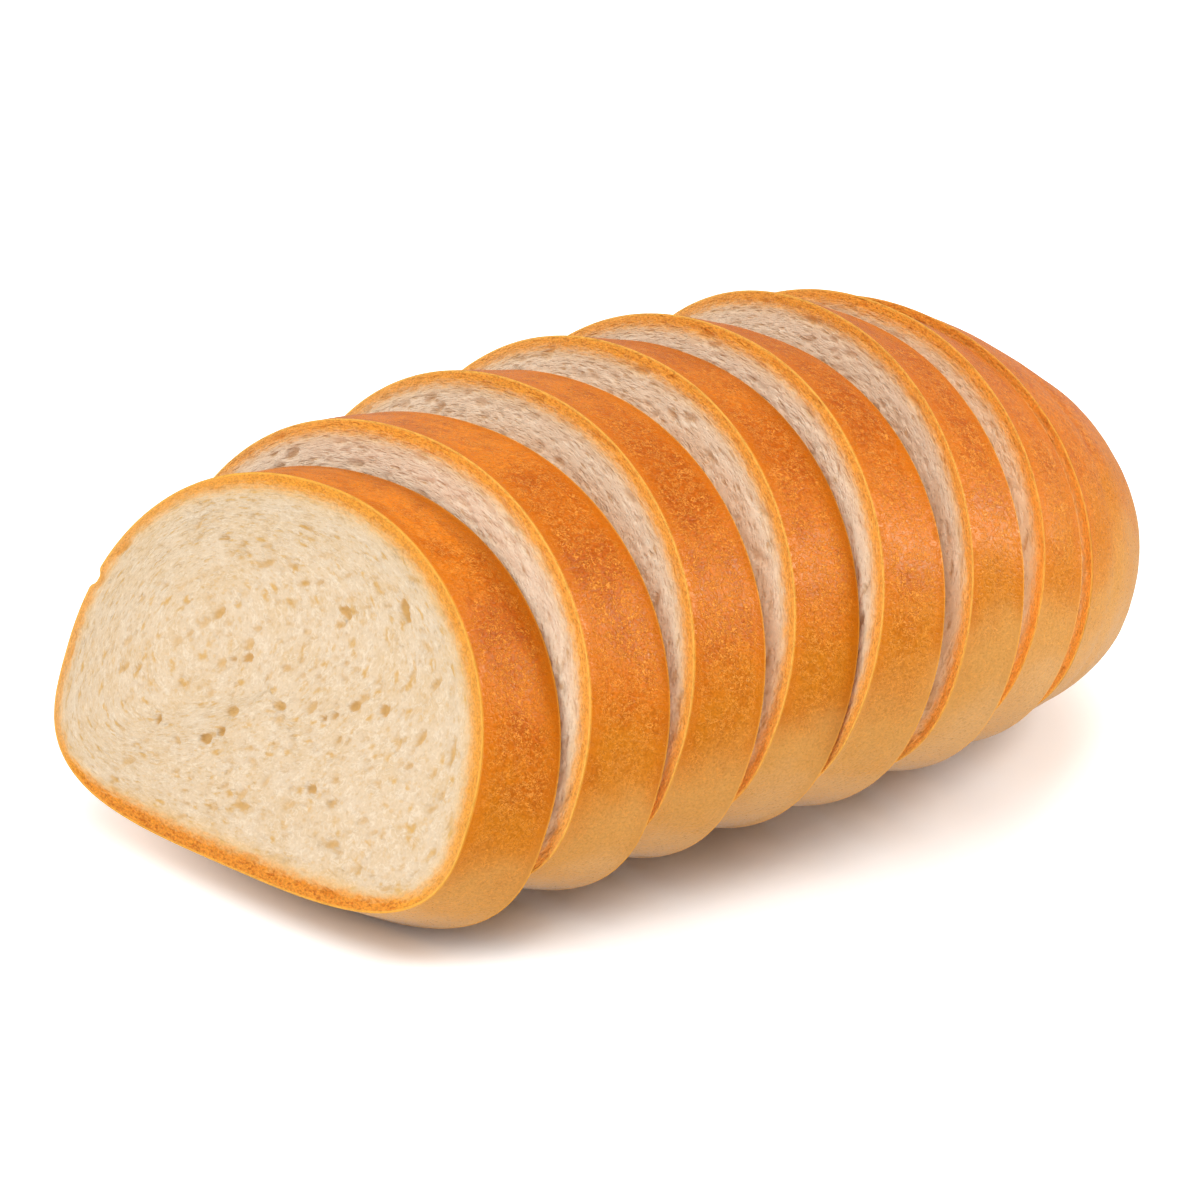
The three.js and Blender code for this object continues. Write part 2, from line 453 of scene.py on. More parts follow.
@dataclass
class Piece:
    """One piece of the loaf: what all of its kinds share."""

    name: str
    station: float  # how far behind the first cut its own cut lies in the baked loaf
    seed: int
    round_points: int = 480
    face_step: float = 0.45  # distance between rings on the outer part of the near cut
    fine_reach: float = 13.0  # how far in from the crust that step is kept
    growth: float = 1.22  # how much each further step grows
    first_ring: float = 0.25  # how far in from the crust the first ring of a cut may lie at most
    least_gap: float = 0.3  # share of a step that the innermost ring keeps from the middle at least
    bubbles: Bubbles = field(default_factory=Bubbles)
    large_bubbles: tuple[tuple[float, ...], ...] = ()
    nicks: tuple[tuple[float, ...], ...] = ()
    nick_reach: float = 1.6  # how far in from the edge a nick goes
    facet_waves: float = 50.0
    grain_shift: float = 40.0  # keeps the crumb's patterns of two pieces apart
    far_seed: int = 50  # what the far cut's seed adds to the piece's own
    inset: float = 0.12  # how far the crumb lies in from the plane of its cut
    even_at_crust: float = 0.35  # share of the crumb's unevenness that is left at the crust
    crumb_fade: float = 1.2  # how far in from the crust all of it is back
    bubble_fade: tuple[float, float] = (0.3, 1.0)  # how far in from the crust a bubble may open
    crust_seed: int = 3
    lump_size: float = 13.0
    lump_layers: int = 3
    lump_level: float = 0.55  # what the lumps lie below, so that the crust stays inside its solid
    lump_height: float = 0.22
    lump_fade: float = 1.2  # how far from a cut the lumps reach their full height
    rind: Sides = Sides(base=3.5, crown=3.0, right=3.0, left=2.1, base_reach=(0.1, 0.6))  # how deep it goes
    bake: Sides = Sides(base=1.2, crown=1.0, right=0.92, left=0.72, base_reach=(0.05, 0.4))  # how brown it is

    def __post_init__(self) -> None:
        """Reads the solid that the piece stands for."""
        self.solid = Solid.read(self.name)
        self.angles = np.arange(self.round_points) * 2 * math.pi / self.round_points
        self.directions = np.column_stack([np.cos(self.angles), np.sin(self.angles)])

    def cut_rings(self, outline: np.ndarray, along: float, step: float) -> tuple[np.ndarray, np.ndarray]:
        """Lays the rings of a cut face.

        Args:
            outline: Distance from the middle to the crust.
            along: Where the cut lies along the piece.
            step: Distance between its outer rings.

        Returns:
            The rings, from the innermost to the crust, and each point's distance from the crust.
        """
        middle = float(outline.mean())
        distances = [0.0, min(self.first_ring, step)]
        while distances[-1] < middle - step:
            last = distances[-1]
            distances.append(last + max(step, (last - self.fine_reach) * (self.growth - 1)))
        if distances[-1] > middle - self.least_gap * step:
            distances.pop()
        slope = np.gradient(np.append(outline, outline[0]))[:-1] * self.round_points / (2 * math.pi)
        square = outline / np.hypot(outline, slope)
        rings, rims = [], []
        for distance in reversed(distances):
            radii = outline * (1 - distance / middle)
            flat = self.directions * radii[:, None]
            rings.append(np.column_stack([flat, np.full(self.round_points, along)]))
            rims.append((outline - radii) * square)
        return np.array(rings), np.array(rims)

    def surface(self) -> Surface:
        """Lays the piece's rings over its solid."""
        raise NotImplementedError

    def nick(self, surface: Surface) -> None:
        """Breaks small bits out of the edge between the near cut and the crust."""
        x, v, s = np.moveaxis(surface.local, -1, 0)
        size = np.hypot(x, v)
        near = np.exp(-((surface.rim + s) / self.nick_reach) ** 2) * (s < self.solid.depth / 2)
        for degrees, width, depth in self.nicks:
            away = (np.arctan2(v, x) - math.radians(degrees) + math.pi) % (2 * math.pi) - math.pi
            bite = depth * np.exp(-((away * size / (width / 2)) ** 4)) * near
            surface.local[..., :2] *= (1 - bite / np.maximum(size, 1.0))[..., None]

    def relief(self, surface: Surface) -> np.ndarray:
        """Shapes the crumb and the crust.

        Args:
            surface: The rings, which are moved.

        Returns:
            The share of the deepest bubble at each point.
        """
        pore = np.zeros(surface.rim.shape)
        normals = outward(surface.local)
        cuts = ((Zone.NEAR_CUT, 1, self.seed), (Zone.FAR_CUT, -1, self.seed + self.far_seed))
        for zone, into, seed in cuts:
            rows = np.flatnonzero(surface.on(zone))
            if not len(rows):
                continue
            chosen = self.large_bubbles if zone is Zone.NEAR_CUT else ()
            crumb = CrumbRelief(self.bubbles, seed, chosen)
            rings = surface.local[rows]
            rim = surface.rim[rows]
            outline = np.hypot(rings[..., 0], rings[..., 1]).max(axis=0)
            opened = crumb.opened(rings[..., :2].reshape(-1, 2), outline, self.angles).reshape(rim.shape)
            grain = self.bubbles.grain(rings[..., 0], rings[..., 1], rim)
            uneven = crumb.uneven(grain)
            restored = (1 - self.even_at_crust) * smooth_step(rim, 0.0, self.crumb_fade)
            inset = self.inset + uneven * (self.even_at_crust + restored)
            inset += opened * smooth_step(rim, *self.bubble_fade)
            surface.local[rows, :, 2] += into * inset
            pore[rows] = opened / self.bubbles.deepest
        crust = surface.on(Zone.CRUST)
        baked = surface.local[crust] + (0, 0, self.station)
        noise = SmoothNoise(self.crust_seed)
        lumps = noise.layered(baked, self.lump_size, self.lump_layers) - self.lump_level
        fade = smooth_step(surface.edge[crust], 0.0, self.lump_fade)
        lift = self.lump_height * lumps * fade + self.marks(surface)[crust]
        surface.local[crust] += normals[crust] * lift[..., None]
        return pore

    def marks(self, surface: Surface) -> np.ndarray:
        """Gives the height of the marks that only this piece's crust has."""
        return np.zeros(surface.edge.shape)

    def build(self, crumb: bpy.types.Material, crust: bpy.types.Material) -> bpy.types.Object:
        """Makes the piece's mesh.

        Args:
            crumb: Material of the cut faces.
            crust: Material of the baked skin.

        Returns:
            The object, linked into the scene.
        """
        surface = self.surface()
        self.nick(surface)
        plain = surface.local.copy()
        pore = self.relief(surface)
        rings, points = surface.rim.shape
        places = surface.local.reshape(-1, 3)
        middles = np.array([surface.local[0].mean(axis=0), surface.local[-1].mean(axis=0)])
        world = self.solid.world(np.concatenate([places, middles]))
        world[:, 2] = np.maximum(world[:, 2], 0.0)

        ring = np.arange(rings - 1)[:, None] * points
        here = np.arange(points)
        after = (here + 1) % points
        quads = np.stack([ring + here, ring + points + here, ring + points + after, ring + after], axis=-1)
        near, far = rings * points, rings * points + 1
        last = (rings - 1) * points
        fans = [(near, i, j) for i, j in zip(here.tolist(), after.tolist())]
        fans += [(far, last + j, last + i) for i, j in zip(here.tolist(), after.tolist())]
        mesh = bpy.data.meshes.new(self.name + "_bread")
        mesh.from_pydata(world.tolist(), [], quads.reshape(-1, 4).tolist() + fans)

        skin = np.array([not (a is b and a is not Zone.CRUST) for a, b in itertools.pairwise(surface.zones)])
        last_zone = surface.zones[-1] is Zone.CRUST
        slots = np.concatenate([np.repeat(skin, points), np.zeros(points, bool), np.full(points, last_zone)])
        mesh.polygons.foreach_set("material_index", slots.astype(np.int32))
        mesh.polygons.foreach_set("use_smooth", np.ones(len(slots), bool))
        mesh.materials.append(crumb)
        mesh.materials.append(crust)

        def spread(values: np.ndarray) -> np.ndarray:
            """Adds the two middles to what is known at the rings."""
            return np.concatenate([values.ravel(), [values[0].mean(), values[-1].mean()]])

        low, high = plain[..., 1].min(), plain[..., 1].max()
        x, v = plain[..., 0], plain[..., 1]
        grain = self.bubbles.grain(x, v, surface.rim) + (0, 0, self.seed * self.grain_shift)
        baked = plain + (0, 0, self.station)
        values = {
            "rim": surface.rim,
            "edge": surface.edge,
            "rise": (v - low) / (high - low),
            "pore": pore,
            "rind": self.rind.around(x, v),
            "bake": self.bake.around(x, v),
        }
        for name, value in values.items():
            data = mesh.attributes.new(name, "FLOAT", "POINT").data
            data.foreach_set("value", spread(value).astype(np.float32))
        for name, vectors in {"grain": grain, "baked": baked}.items():
            columns = np.column_stack([spread(vectors[..., axis]) for axis in range(3)])
            data = mesh.attributes.new(name, "FLOAT_VECTOR", "POINT").data
            data.foreach_set("vector", columns.ravel().astype(np.float32))
        mesh.validate()
        piece = bpy.data.objects.new(self.name + "_bread", mesh)
        bpy.context.scene.collection.objects.link(piece)
        return piece


def outward(local: np.ndarray) -> np.ndarray:
    """Gives the outward direction at each point of a surface's rings."""
    around = np.roll(local, -1, axis=1) - np.roll(local, 1, axis=1)
    along = np.gradient(local, axis=0)
    normal = np.cross(around, along)
    return normal / np.maximum(np.linalg.norm(normal, axis=-1, keepdims=True), 1e-9)


@dataclass
class Slice(Piece):
    """A slice between two cuts."""

    crust_step: float = 0.6
    back_step: float = 0.9
    sections: int = 5  # how many sections are measured
    bend: int = 2  # power of the curve that is laid through them
    measured_inside: float = 0.05  # how far inside the cuts the outer ones lie
    edge_ring: float = 0.2  # how far from a cut the crust's first ring lies
    second_ring: float = 0.5

    def surface(self) -> Surface:
        """Lays the rings over the near cut, the band of crust and the far cut."""
        depth = self.solid.depth
        stations = np.linspace(self.measured_inside, depth - self.measured_inside, self.sections)
        measured = np.array([self.solid.reach(self.angles, station) for station in stations])
        softened = soften_round(measured, self.facet_waves)
        curves = np.polynomial.polynomial.polyfit(stations, softened, self.bend)

        def outline(station: float) -> np.ndarray:
            """Gives the distance from the middle line to the crust all round a section."""
            return np.polynomial.polynomial.polyval(station, curves)

        near, near_rim = self.cut_rings(outline(0.0), 0.0, self.face_step)
        far, far_rim = self.cut_rings(outline(depth), depth, self.back_step)
        steps = int(depth / self.crust_step)
        inner = np.linspace(self.second_ring, depth - self.second_ring, steps)
        band_stations = np.concatenate([[self.edge_ring], inner, [depth - self.edge_ring]])
        band = []
        for station in band_stations:
            flat = self.directions * outline(station)[:, None]
            band.append(np.column_stack([flat, np.full(self.round_points, station)]))
        edge = np.minimum(band_stations, depth - band_stations)
        none = np.zeros(self.round_points)
        return Surface(
            local=np.concatenate([near, band, far[::-1]]),
            zones=[Zone.NEAR_CUT] * len(near) + [Zone.CRUST] * len(band) + [Zone.FAR_CUT] * len(far),
            rim=np.concatenate([near_rim, [none] * len(band), far_rim[::-1]]),
            edge=np.concatenate([[none] * len(near), np.outer(edge, none + 1), [none] * len(far)]),
        )


@dataclass
class Heel(Piece):
    """The rounded end of the loaf, with one cut."""

    crust_rings: int = 110
    start: float = 0.02  # how far behind the cut the measuring starts
    least_tilt: float = 0.001
    softened_rings: int = 30  # how far from ring to ring the smoothing reaches
    softened_width: float = 10.0
    crease_station: float = 7.5
    crease_width: float = 1.6
    crease_depth: float = 0.35
    crease_sway: float = 2.5
    crease_waves: float = 1.6
    crease_start: float = 0.2
    crease_way: float = 0.15  # direction from the middle that its course lies round
    crease_ends: tuple[float, float] = (0.45, 0.85)

    def surface(self) -> Surface:
        """Lays the rings over the cut and round the crust to the tip."""
        tilts = np.linspace(0, math.pi / 2, self.crust_rings + 1)[:-1]
        measured = [self.solid.reach(self.angles, self.start, max(tilt, self.least_tilt)) for tilt in tilts]
        reach = self.soften(soften_round(np.array(measured), self.facet_waves))
        near, near_rim = self.cut_rings(reach[0], 0.0, self.face_step)
        crust = []
        for tilt, radii in zip(tilts[1:], reach[1:]):
            flat = self.directions * (radii * math.cos(tilt))[:, None]
            crust.append(np.column_stack([flat, radii * math.sin(tilt)]))
        crust = np.array(crust)
        none = np.zeros(self.round_points)
        return Surface(
            local=np.concatenate([near, crust]),
            zones=[Zone.NEAR_CUT] * len(near) + [Zone.CRUST] * len(crust),
            rim=np.concatenate([near_rim, [none] * len(crust)]),
            edge=np.concatenate([[none] * len(near), crust[..., 2]]),
        )

    def soften(self, reach: np.ndarray) -> np.ndarray:
        """Smooths the measured distances from the cut over the tip, so that the solid's facets don't show."""
        across_tip = np.roll(reach, self.round_points // 2, axis=1)[::-1]
        before_cut = 2 * reach[:1] - reach[1:][::-1]
        span = len(reach)
        whole = np.concatenate([before_cut, reach, across_tip])
        spread = np.arange(-self.softened_rings, self.softened_rings + 1)
        kernel = np.exp(-((spread / self.softened_width) ** 2))
        kernel /= kernel.sum()
        padded = [np.convolve(column, kernel, mode="same") for column in whole.T]
        return np.array(padded).T[span - 1 : 2 * span - 1]

    def marks(self, surface: Surface) -> np.ndarray:
        """Sinks the soft crease that runs round the right side behind the cut."""
        x, v, s = np.moveaxis(surface.local, -1, 0)
        angle = np.arctan2(v, x)
        sway = np.sin(self.crease_waves * angle + self.crease_start)
        course = self.crease_station + self.crease_sway * sway
        side = smooth_step(np.cos(angle - self.crease_way), *self.crease_ends)
        return -self.crease_depth * side * np.exp(-(((s - course) / self.crease_width) ** 2))


Socket = bpy.types.NodeSocket
Value = float | tuple[float, ...] | Socket


@dataclass(frozen=True)
class Ease:
    """A value that goes from start to end while what drives it goes from low to high."""

    low: float
    high: float
    start: float = 0.0
    end: float = 1.0


@dataclass(frozen=True)
class Mottle:
    """Soft uneven patches."""

    size: float
    detail: float
    contrast: float


@dataclass(frozen=True)
class Pits:
    """Small open bubbles, spaced by their size; each takes up a share of it."""

    size: float
    share: float
    softness: float


@dataclass(frozen=True)
class Ridges:
    """Fine curved ridges."""

    size: float
    thickness: float
    curl: float


@dataclass(frozen=True)
class Graph:
    """A node tree with short ways to add and wire the nodes that the finishes use."""

    tree: bpy.types.NodeTree

    def node(self, kind: str, **settings: object) -> bpy.types.Node:
        """Adds a node and sets its properties."""
        made = self.tree.nodes.new(kind)
        for name, value in settings.items():
            setattr(made, name, value)
        return made

    def feed(self, socket: Socket, value: Value) -> None:
        """Wires a socket into another, or sets its value."""
        if isinstance(value, bpy.types.NodeSocket):
            self.tree.links.new(value, socket)
        else:
            socket.default_value = value

    def attribute(self, name: str, output: str = "Fac") -> Socket:
        """Reads a mesh attribute."""
        return self.node("ShaderNodeAttribute", attribute_name=name).outputs[output]

    def maths(self, operation: str, *values: Value, clamp: bool = False) -> Socket:
        """Works out a value from others."""
        made = self.node("ShaderNodeMath", operation=operation, use_clamp=clamp)
        for socket, value in zip(made.inputs, values):
            self.feed(socket, value)
        return made.outputs[0]

    def remap(self, value: Value, low: Value, high: Value, start: float = 0.0, end: float = 1.0) -> Socket:
        """Eases from start to end while a value goes from low to high."""
        made = self.node("ShaderNodeMapRange", interpolation_type="SMOOTHSTEP")
        for socket, given in zip(made.inputs, (value, low, high, start, end)):
            self.feed(socket, given)
        return made.outputs[0]

    def ease(self, value: Value, eased: Ease) -> Socket:
        """Eases a value as is stated."""
        return self.remap(value, eased.low, eased.high, eased.start, eased.end)

    def times(self, first: Value, second: Value) -> Socket:
        """Multiplies two values."""
        return self.maths("MULTIPLY", first, second)

    def swing(self, tone: Value, by: Value, level: Value, middle: float = MIDDLE_TONE) -> Socket:
        """Lets a level go up and down with a tone that lies round a middle."""
        return self.maths("MULTIPLY_ADD", self.maths("SUBTRACT", tone, middle), by, level)

    def bump(self, parts: Iterable[tuple[Value, float]], strength: float, distance: float) -> Socket:
        """Turns heights into a normal.

        Args:
            parts: Each height with its share of the distance.
            strength: How much of it shows.
            distance: What a height of 1 stands for.

        Returns:
            The normal.
        """
        height: Value = 0.0
        for part, share in parts:
            height = self.maths("MULTIPLY_ADD", part, share, height)
        made = self.node("ShaderNodeBump")
        self.feed(made.inputs["Strength"], strength)
        self.feed(made.inputs["Distance"], distance * MM)
        self.feed(made.inputs["Height"], height)
        return made.outputs[0]

    def scaled(self, vector: Value, size: Value) -> Socket:
        """Divides a vector by a size."""
        made = self.node("ShaderNodeVectorMath", operation="SCALE")
        self.feed(made.inputs[0], vector)
        self.feed(made.inputs["Scale"], self.maths("DIVIDE", 1.0, size))
        return made.outputs[0]

    def stretched(self, vector: Value, shares: tuple[float, float, float]) -> Socket:
        """Multiplies each part of a vector by its own share."""
        made = self.node("ShaderNodeVectorMath", operation="MULTIPLY")
        self.feed(made.inputs[0], vector)
        self.feed(made.inputs[1], shares)
        return made.outputs[0]

    def mix(self, share: Value, first: Value, second: Value, mode: str = "MIX") -> Socket:
        """Mixes two colours."""
        made = self.node("ShaderNodeMix", data_type="RGBA", blend_type=mode)
        self.feed(made.inputs[0], share)
        self.feed(made.inputs[6], first)
        self.feed(made.inputs[7], second)
        return made.outputs[2]

    def ramp(self, value: Value, places: tuple[float, ...], colours: tuple[Colour, ...]) -> Socket:
        """Runs a value through a row of colours, each at its own place."""
        made = self.node("ShaderNodeValToRGB")
        self.feed(made.inputs[0], value)
        made.color_ramp.interpolation = "EASE"
        points = made.color_ramp.elements
        while len(points) < len(places):
            points.new(1.0)
        for point, place, colour in zip(points, places, colours):
            point.position = place
            point.color = colour
        return made.outputs[0]

    def place(self, group: bpy.types.NodeTree, **values: Value) -> bpy.types.Node:
        """Adds a shared group and feeds its inputs."""
        made = self.node("ShaderNodeGroup", node_tree=group)
        for name, value in values.items():
            self.feed(made.inputs[name.replace("_", " ").capitalize()], value)
        return made


def new_group(name: str, inputs: dict[str, str], outputs: tuple[str, ...]) -> tuple[Graph, dict, dict]:
    """Starts a shader node group.

    Args:
        name: What it is called.
        inputs: Its inputs, each with Float or Vector.
        outputs: Its outputs, which are values.

    Returns:
        Its graph, its inputs' sockets by name and its outputs' sockets by name.
    """
    tree = bpy.data.node_groups.new(name, "ShaderNodeTree")
    for label, kind in inputs.items():
        tree.interface.new_socket(name=label, in_out="INPUT", socket_type="NodeSocket" + kind)
    for label in outputs:
        tree.interface.new_socket(name=label, in_out="OUTPUT", socket_type="NodeSocketFloat")
    given = tree.nodes.new("NodeGroupInput").outputs
    result = tree.nodes.new("NodeGroupOutput").inputs
    return Graph(tree), {label: given[label] for label in inputs}, {label: result[label] for label in outputs}


BEND_SCALE, BEND = 2.6, 0.45  # how closely and how far the outlines of the small bubbles are bent
RIDGE_DETAIL = 1.5


def mottle_group() -> bpy.types.NodeTree:
    """Makes soft uneven patches, 0 to 1, of a given size."""
    inputs = {"Place": "Vector", "Size": "Float", "Detail": "Float", "Contrast": "Float"}
    graph, given, result = new_group("mottle", inputs, ("Tone",))
    noise = graph.node("ShaderNodeTexNoise")
    graph.feed(noise.inputs["Vector"], graph.scaled(given["Place"], given["Size"]))
    graph.feed(noise.inputs["Scale"], 1.0)
    graph.feed(noise.inputs["Detail"], given["Detail"])
    centred = graph.maths("SUBTRACT", noise.outputs[0], MIDDLE_TONE)
    tone = graph.maths("MULTIPLY_ADD", centred, given["Contrast"], MIDDLE_TONE, clamp=True)
    graph.feed(result["Tone"], tone)
    return graph.tree


def bubble_group() -> bpy.types.NodeTree:
    """Makes small open bubbles: a mask that is 1 inside them, of a given spacing and share of it."""
    inputs = {"Place": "Vector", "Size": "Float", "Share": "Float", "Softness": "Float"}
    graph, given, result = new_group("bubbles", inputs, ("Mask",))
    scaled = graph.scaled(given["Place"], given["Size"])
    noise = graph.node("ShaderNodeTexNoise")
    graph.feed(noise.inputs["Vector"], scaled)
    graph.feed(noise.inputs["Scale"], BEND_SCALE)
    graph.feed(noise.inputs["Detail"], 1.0)
    bent = graph.node("ShaderNodeVectorMath", operation="MULTIPLY_ADD")
    graph.feed(bent.inputs[0], noise.outputs[1])
    graph.feed(bent.inputs[1], (BEND, BEND, BEND))
    graph.feed(bent.inputs[2], scaled)
    cells = graph.node("ShaderNodeTexVoronoi")
    graph.feed(cells.inputs["Vector"], bent.outputs[0])
    graph.feed(cells.inputs["Scale"], 1.0)
    inner = graph.maths("SUBTRACT", given["Share"], given["Softness"])
    outer = graph.maths("ADD", given["Share"], given["Softness"])
    mask = graph.remap(cells.outputs["Distance"], inner, outer, 1.0, 0.0)
    graph.feed(result["Mask"], mask)
    return graph.tree


def wrinkle_group() -> bpy.types.NodeTree:
    """Makes fine curved ridges, 0 to 1, of a given size."""
    inputs = {"Place": "Vector", "Size": "Float", "Thickness": "Float", "Curl": "Float"}
    graph, given, result = new_group("wrinkles", inputs, ("Ridge",))
    noise = graph.node("ShaderNodeTexNoise")
    graph.feed(noise.inputs["Vector"], graph.scaled(given["Place"], given["Size"]))
    graph.feed(noise.inputs["Scale"], 1.0)
    graph.feed(noise.inputs["Detail"], RIDGE_DETAIL)
    graph.feed(noise.inputs["Distortion"], given["Curl"])
    away = graph.maths("ABSOLUTE", graph.maths("SUBTRACT", noise.outputs[0], MIDDLE_TONE))
    graph.feed(result["Ridge"], graph.remap(away, 0.0, given["Thickness"], 1.0, 0.0))
    return graph.tree


@dataclass(frozen=True)
class Effects:
    """The node groups that more than one finish uses."""

    mottle: bpy.types.NodeTree = field(default_factory=mottle_group)
    bubbles: bpy.types.NodeTree = field(default_factory=bubble_group)
    wrinkles: bpy.types.NodeTree = field(default_factory=wrinkle_group)

    def add(self, graph: Graph, place: Value, look: Mottle | Pits | Ridges) -> Socket:
        """Places the group of a look in a material.

        Args:
            graph: The material's graph.
            place: Coordinates that the pattern lies in.
            look: The group's own values.

        Returns:
            The pattern, 0 to 1.
        """
        group = {Mottle: self.mottle, Pits: self.bubbles, Ridges: self.wrinkles}[type(look)]
        return graph.place(group, place=place, **vars(look)).outputs[0]


def new_material(name: str) -> tuple[Graph, bpy.types.Node]:
    """Starts a material.

    Args:
        name: What it is called.

    Returns:
        Its graph and its Principled BSDF.
    """
    material = bpy.data.materials.new(name)
    material.use_nodes = True
    graph = Graph(material.node_tree)
    return graph, material.node_tree.nodes["Principled BSDF"]


@dataclass(frozen=True)
class CrumbFinish:
    """The cut faces: pale crumb with painted shade in its bubbles, in a baked rind with a painted highlight
    along its outer edge.
    """

    name: str
    light: Colour = paint(221, 198, 168)
    shade: Colour = paint(216, 187, 148)
    # painted shade: the colour of the open bubbles, darker and browner than the crumb round them
    bubble: Colour = paint(210, 163, 90)
    strand: Colour = paint(242, 228, 206)
    rind: Colour = paint(232, 152, 46)
    rind_fade: Colour = paint(232, 180, 96)
    rind_base: Colour = paint(228, 142, 42)
    rind_pit: Colour = paint(200, 108, 20)
    # painted highlight: a pale line along the crumb's outer edge, where the cut edge catches the light
    rim_line: Colour = paint(246, 184, 74)
    roughness: float = 0.78
    specular_level: float = 0.3
    layer_shares: tuple[float, float, float] = (0.6, 0.6, 1.7)  # the crumb is drawn out along its layers

    broad: Mottle = Mottle(size=5.0, detail=3.0, contrast=2.2)
    close: Mottle = Mottle(size=1.1, detail=3.0, contrast=2.2)
    crumbs: Mottle = Mottle(size=0.42, detail=1.0, contrast=2.4)
    middle_bubbles: Pits = Pits(size=2.3, share=0.3, softness=0.15)
    fine_bubbles: Pits = Pits(size=0.75, share=0.34, softness=0.18)
    rind_pits: Pits = Pits(size=0.9, share=0.4, softness=0.12)
    strands: Ridges = Ridges(size=0.8, thickness=0.1, curl=0.8)

    middle_depth: float = 0.9  # how much painted shade the middle bubbles get
    fine_depth: float = 0.4
    hollow_patches: Ease = Ease(0.3, 0.8)
    strand_patches: Ease = Ease(0.7, 0.2, 0.05, 0.4)
    # painted shade that deepens with the depth of a bubble's hollow
    pore_tint: Ease = Ease(0.1, 0.8, 0.0, 0.85)
    raggedness: float = 1.1  # how far the rind's inner edge wanders
    fade_reach: Ease = Ease(0.5, 1.7, 0.6, 0.0)  # over shares of the rind's depth, as the two below
    bake_reach: Ease = Ease(0.3, 1.2, 1.0, 0.0)
    pit_reach: Ease = Ease(0.4, 1.0, 0.85, 0.0)
    base_bake: Ease = Ease(1.0, 1.2)
    pit_patches: Ease = Ease(0.1, 0.6, 0.15, 1.0)
    pit_bake: Ease = Ease(0.85, 1.15, 0.1, 1.0)
    line_reach: Ease = Ease(0.15, 0.45, 0.7, 0.0)
    grain_contrast: float = 0.09
    baked_contrast: float = 0.28  # what a full bake adds to it
    heights: tuple[float, ...] = (0.12, 0.3, -0.8, -0.45, -0.6)  # strands, patches, bubbles twice, pits
    bump_strength: float = 0.8
    bump_distance: float = 0.2

    def material(self, effects: Effects) -> bpy.types.Material:
        """Makes the material.

        Args:
            effects: The shared node groups.

        Returns:
            The material.
        """
        graph, shader = new_material(self.name)
        grain = graph.attribute("grain", "Vector")
        rim, rind = graph.attribute("rim"), graph.attribute("rind")
        pore, bake = graph.attribute("pore"), graph.attribute("bake")
        layers = graph.stretched(grain, self.layer_shares)
        in_layers = (self.close, self.middle_bubbles, self.fine_bubbles, self.strands)
        close, middle, fine, strands = (effects.add(graph, layers, look) for look in in_layers)
        plain = (self.broad, self.crumbs, self.rind_pits)
        broad, crumbs, pits = (effects.add(graph, grain, look) for look in plain)

        colour = graph.mix(broad, self.light, self.shade)
        # Painted shade in the middle and fine bubbles, where the crumb's patches are hollow.
        middle_shade = graph.times(middle, self.middle_depth)
        hollow_shade = graph.maths("MAXIMUM", middle_shade, graph.times(fine, self.fine_depth))
        hollow_shade = graph.times(hollow_shade, graph.ease(close, self.hollow_patches))
        colour = graph.mix(hollow_shade, colour, self.bubble)
        threads = graph.times(strands, graph.ease(close, self.strand_patches))
        colour = graph.mix(threads, colour, self.strand)
        # Painted shade in the deeper hollows of the cut bubbles.
        colour = graph.mix(graph.ease(pore, self.pore_tint), colour, self.bubble)

        share = graph.maths("DIVIDE", graph.swing(close, self.raggedness, rim), rind)
        fading = graph.times(graph.ease(share, self.fade_reach), bake)
        colour = graph.mix(fading, colour, self.rind_fade)
        baked = graph.times(graph.ease(share, self.bake_reach), bake)
        rind_colour = graph.mix(graph.ease(bake, self.base_bake), self.rind, self.rind_base)
        colour = graph.mix(baked, colour, rind_colour)
        pits = graph.times(pits, graph.ease(close, self.pit_patches))
        pits = graph.times(pits, graph.ease(share, self.pit_reach))
        colour = graph.mix(graph.times(pits, graph.ease(bake, self.pit_bake)), colour, self.rind_pit)
        contrast = graph.maths("MULTIPLY_ADD", baked, self.baked_contrast, self.grain_contrast)
        colour = graph.mix(1.0, colour, graph.swing(crumbs, contrast, 1.0), "MULTIPLY")
        # Painted highlight along the cut edge.
        colour = graph.mix(graph.ease(rim, self.line_reach), colour, self.rim_line)

        heights = zip((strands, close, middle, fine, pits), self.heights)
        graph.feed(shader.inputs["Base Color"], colour)
        graph.feed(shader.inputs["Roughness"], self.roughness)
        graph.feed(shader.inputs["Specular IOR Level"], self.specular_level)
        graph.feed(shader.inputs["Normal"], graph.bump(heights, self.bump_strength, self.bump_distance))
        return bpy.data.materials[self.name]


